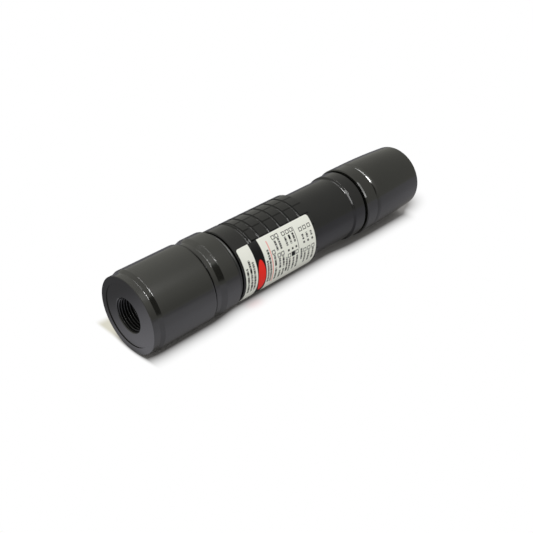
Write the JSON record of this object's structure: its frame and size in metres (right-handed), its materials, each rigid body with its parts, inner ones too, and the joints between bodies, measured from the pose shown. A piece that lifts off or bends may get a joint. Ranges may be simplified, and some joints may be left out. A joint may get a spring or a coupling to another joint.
{
  "type": "laser pointer",
  "caption": "Cylindrical metal laser pointer in the form of a flashlight, with a grooved grip, a wrap-round label, a threaded nose opening and a tail push button.",
  "frame": {"origin": "centre of the flat tail end, which the pointer stands on", "axes": "+Z along the beam, from the tail end to the nose; -Y is the side that the picture looks at, and the label is wrapped round from there towards -X"},
  "size_m": [0.028, 0.028, 0.1325],
  "materials": {
    "anodised_shell": "hard anodised, satin",
    "label_sheet": "printed vinyl, satin",
    "seal_rubber": "smooth rubber",
    "boot_rubber": "matt rubber",
    "window_glass": "polished, coated",
    "lens_glass": "polished, coated",
    "bare_aluminium": "turned",
    "bare_brass": "turned",
    "diode_can": "gold plated",
    "board": "solder mask",
    "chip_case": "moulded",
    "spring_steel": "plated wire",
    "switch_plastic": "moulded",
    "plunger_plastic": "moulded",
    "cell_sleeve": "shrink sleeve over a steel can"
  },
  "bodies": {
    "pointer": {"head_shell": "anodised_shell", "window_glass": "window_glass", "window_seal": "seal_rubber", "window_ring": "bare_aluminium", "collimator_lens": "lens_glass", "lens_barrel": "bare_brass", "lens_spring": "spring_steel", "laser_module": "bare_brass", "laser_diode": "diode_can", "driver_board": "board", "driver_chip": "chip_case", "driver_inductor": "chip_case", "driver_spring": "spring_steel", "head_seal": "seal_rubber", "collar": "anodised_shell", "front_seal": "seal_rubber", "barrel": "anodised_shell", "label": "label_sheet", "battery_cell": "cell_sleeve", "tail_seal": "seal_rubber"},
    "tail_cap": {"tail_cap": "anodised_shell", "button_boot": "boot_rubber", "switch_body": "switch_plastic", "switch_board": "board", "switch_ring": "bare_aluminium", "switch_spring": "spring_steel", "tail_spring": "spring_steel"},
    "button": {"switch_plunger": "plunger_plastic"}
  },
  "joints": [
    {"name": "tail_cap_turn", "type": "hinge", "parent": "pointer", "child": "tail_cap", "pos_m": [0, 0, 0.02], "axis": [0, 0, -1], "range_deg": [0, 90]},
    {"name": "button_press", "type": "slide", "parent": "tail_cap", "child": "button", "axis": [0, 0, 1], "range_m": [0, 0.0018], "stiffness_N_per_m": 1500, "springref_m": -0.0015, "deforming": ["switch_spring", "button_boot"]}
  ]
}
